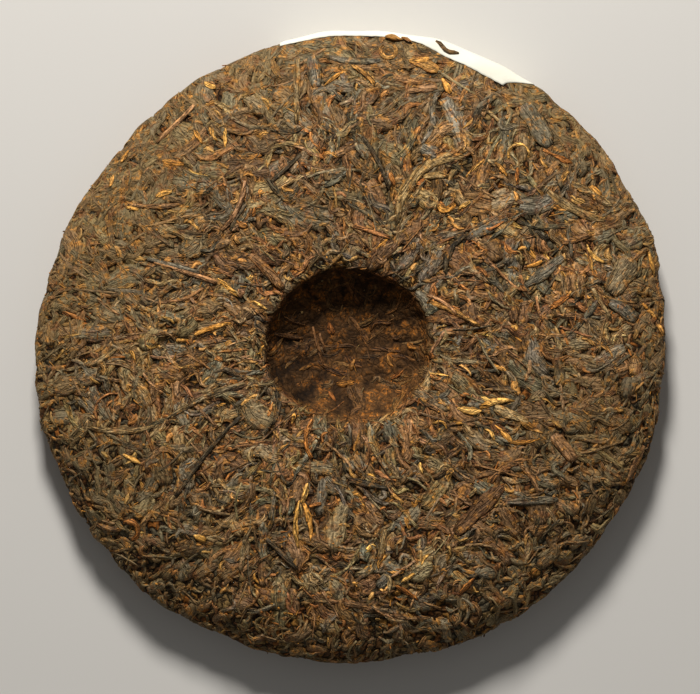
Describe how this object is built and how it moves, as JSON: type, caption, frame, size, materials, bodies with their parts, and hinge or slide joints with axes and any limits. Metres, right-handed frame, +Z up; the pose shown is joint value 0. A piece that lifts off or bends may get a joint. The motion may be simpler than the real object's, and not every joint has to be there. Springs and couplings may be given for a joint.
{
  "type": "pu erh tea cake",
  "caption": "Round cake of pressed pu erh tea leaves, lying back up, with a dimple in its back and a slip of white paper folded over its rim.",
  "frame": {"origin": "under the middle of the cake's outline, in the plane that it lies on", "axes": "+Z up, out of the dimple in the back; +Y towards the edge where the slip of paper is"},
  "size_m": [0.196, 0.1974, 0.0253],
  "materials": {
    "pressed_leaf": "matte",
    "white_paper": "matte",
    "golden_tip": "matte",
    "leaf_stem": "satin"
  },
  "bodies": {
    "root": {"tea_cake": "pressed_leaf", "paper_slip": "white_paper"}
  },
  "joints": []
}
